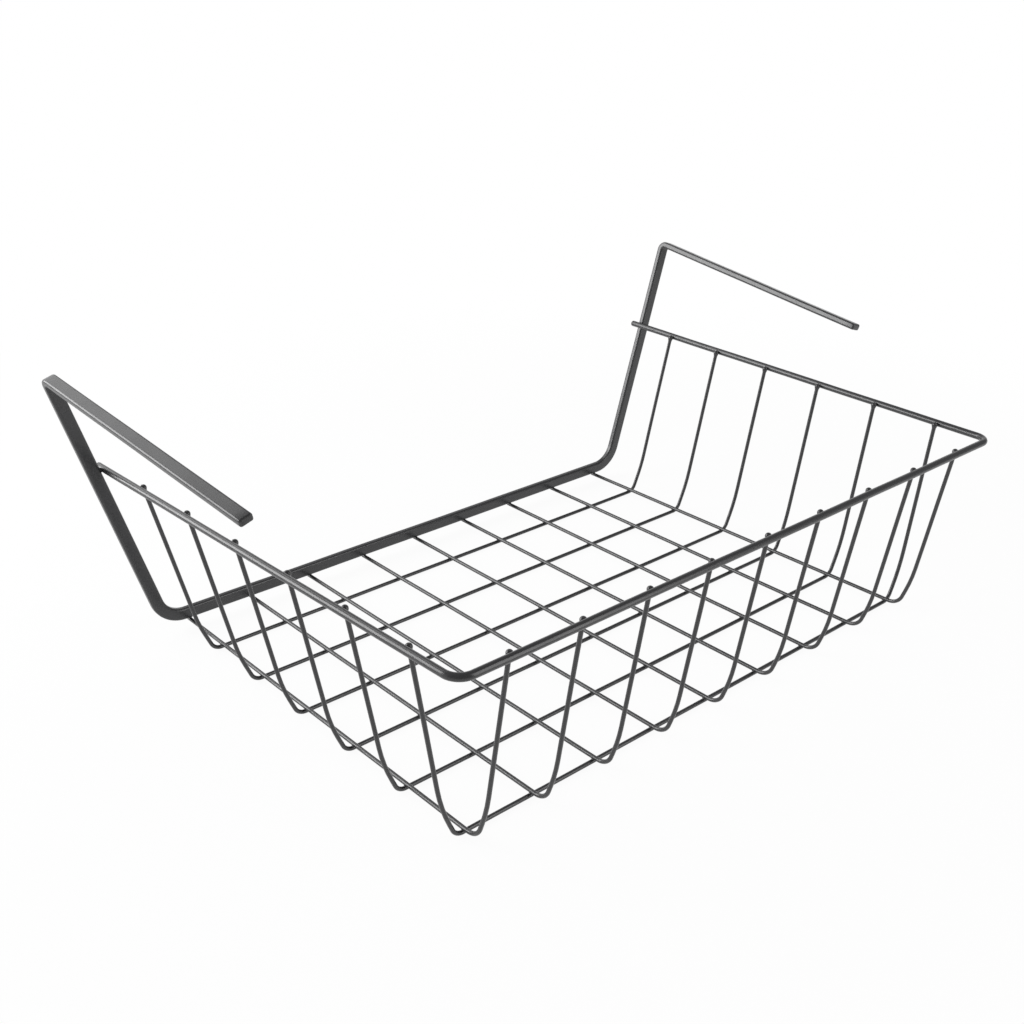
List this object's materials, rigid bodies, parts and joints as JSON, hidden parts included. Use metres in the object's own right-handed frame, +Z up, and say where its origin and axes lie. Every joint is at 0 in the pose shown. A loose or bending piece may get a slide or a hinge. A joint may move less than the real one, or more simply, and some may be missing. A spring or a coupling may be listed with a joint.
{
  "type": "under-shelf basket",
  "caption": "Open wire storage basket with a heavier rim wire and a flat-bar back frame whose two arms slide over a shelf board so that the basket hangs beneath it.",
  "frame": {"origin": "centre of the overall box in plan, on the plane that the basket's floor wires stand on", "axes": "+X across the width towards the right side seen from the front, +Y from the open front rim towards the back frame, +Z up"},
  "size_m": [0.4478, 0.2815, 0.1616],
  "materials": {
    "powder_coat": "dark grey satin powder coat on steel"
  },
  "bodies": {
    "root": {"back_frame": "powder_coat", "rim_wire": "powder_coat", "cross_wire_1": "powder_coat", "cross_wire_2": "powder_coat", "cross_wire_3": "powder_coat", "cross_wire_4": "powder_coat", "cross_wire_5": "powder_coat", "cross_wire_6": "powder_coat", "long_wire_1": "powder_coat", "long_wire_2": "powder_coat", "long_wire_3": "powder_coat", "long_wire_4": "powder_coat", "long_wire_5": "powder_coat", "long_wire_6": "powder_coat", "long_wire_7": "powder_coat", "long_wire_8": "powder_coat", "long_wire_9": "powder_coat"}
  },
  "joints": []
}
